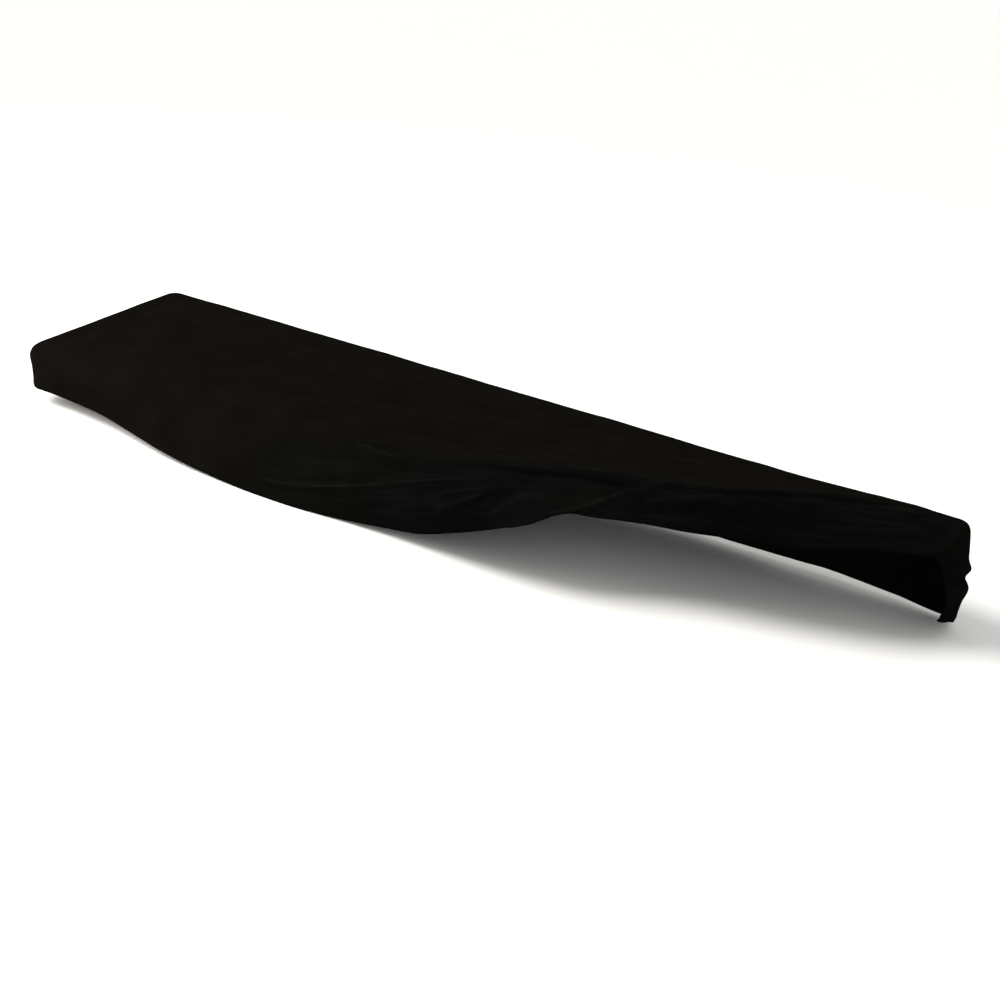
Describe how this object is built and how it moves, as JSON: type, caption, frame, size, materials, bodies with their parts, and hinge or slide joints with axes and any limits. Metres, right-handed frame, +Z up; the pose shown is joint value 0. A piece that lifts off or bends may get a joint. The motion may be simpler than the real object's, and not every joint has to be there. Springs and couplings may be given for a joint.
{
  "type": "keyboard dust cover",
  "caption": "Fitted black velour dust cover for a full-size digital piano: a hollow draped sheet, open underneath, its front right part drawn up and back in soft folds.",
  "frame": {"origin": "on the underside of the cover's top, where it rests on the instrument, at the middle of its length and 60 mm behind the middle of its depth", "axes": "+X to the right along the length, seen from the player's side; +Y to the back; +Z up"},
  "size_m": [1.2975, 0.3188, 0.1237],
  "materials": {
    "velour": "short black pile, matt with a soft sheen at grazing angles"
  },
  "bodies": {
    "root": {"cover_cloth": "velour"}
  },
  "joints": []
}
